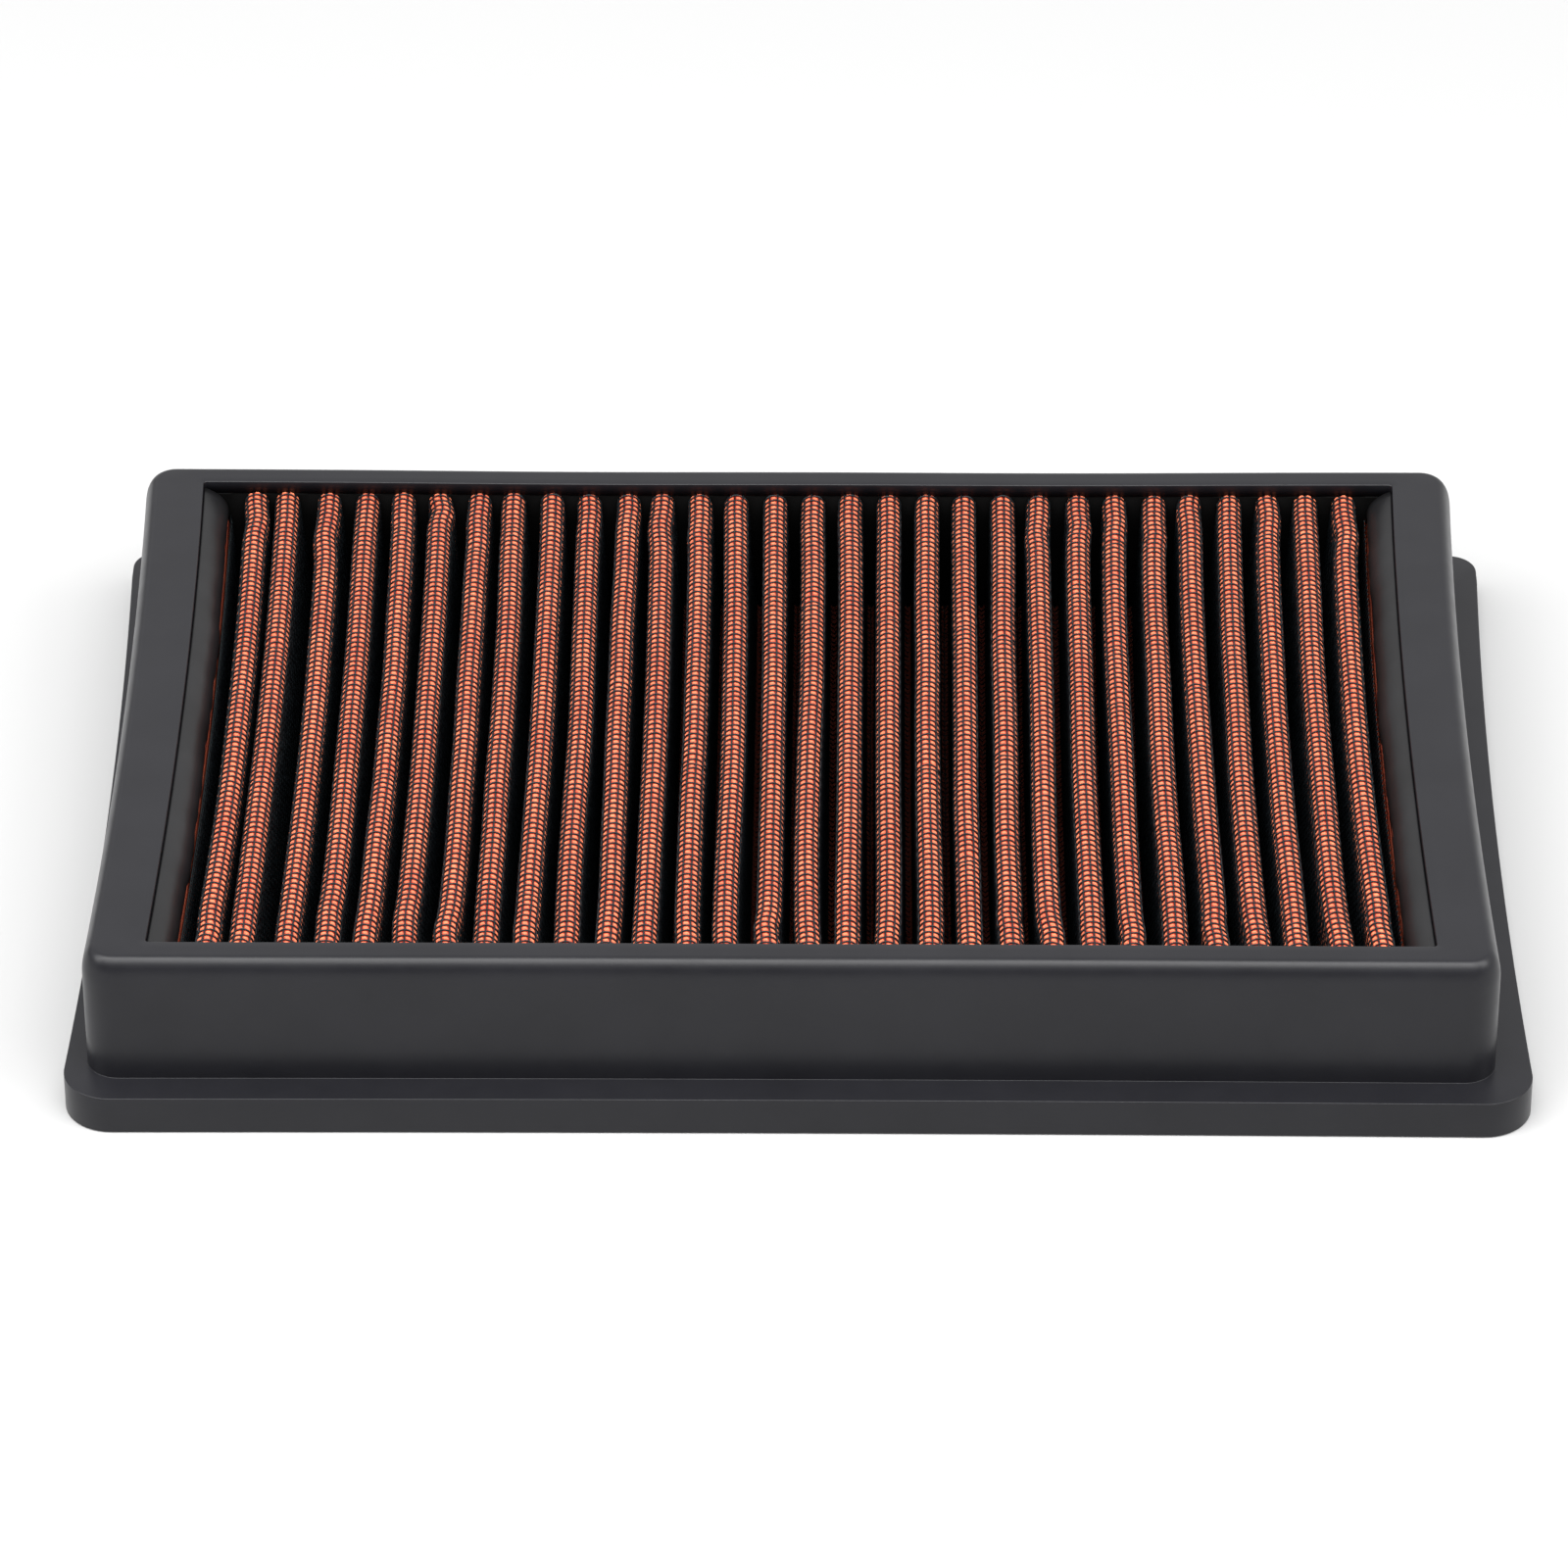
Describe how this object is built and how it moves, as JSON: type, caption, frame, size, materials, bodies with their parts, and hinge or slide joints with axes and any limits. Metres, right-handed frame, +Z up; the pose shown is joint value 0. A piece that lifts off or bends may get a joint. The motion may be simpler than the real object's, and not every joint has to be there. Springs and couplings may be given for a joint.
{
  "type": "air filter",
  "caption": "Rectangular panel air filter: a moulded rubber frame with a sealing flange round pleated oiled cotton gauze between two coated wire screens.",
  "frame": {"origin": "centre of the flange's underside, at the height that the filter stands on", "axes": "+X along the filter's long side and across the pleats, +Y along the pleats, +Z up from the flange to the rim"},
  "size_m": [0.299, 0.203, 0.0373],
  "materials": {
    "frame_rubber": "moulded soft polyurethane, satin black, slightly greasy sheen",
    "sealant": "poured black polyurethane, satin",
    "screen_wire": "black epoxy coated woven wire, semi-gloss",
    "oiled_gauze": "open cotton gauze wetted with red filter oil"
  },
  "bodies": {
    "root": {"frame": "frame_rubber", "end_seal_left": "sealant", "end_seal_right": "sealant", "pleat_seal_front": "sealant", "pleat_seal_back": "sealant", "inlet_screen": "screen_wire", "gauze_layer_1": "oiled_gauze", "gauze_layer_2": "oiled_gauze", "gauze_layer_3": "oiled_gauze", "gauze_layer_4": "oiled_gauze", "outlet_screen": "screen_wire"}
  },
  "joints": []
}
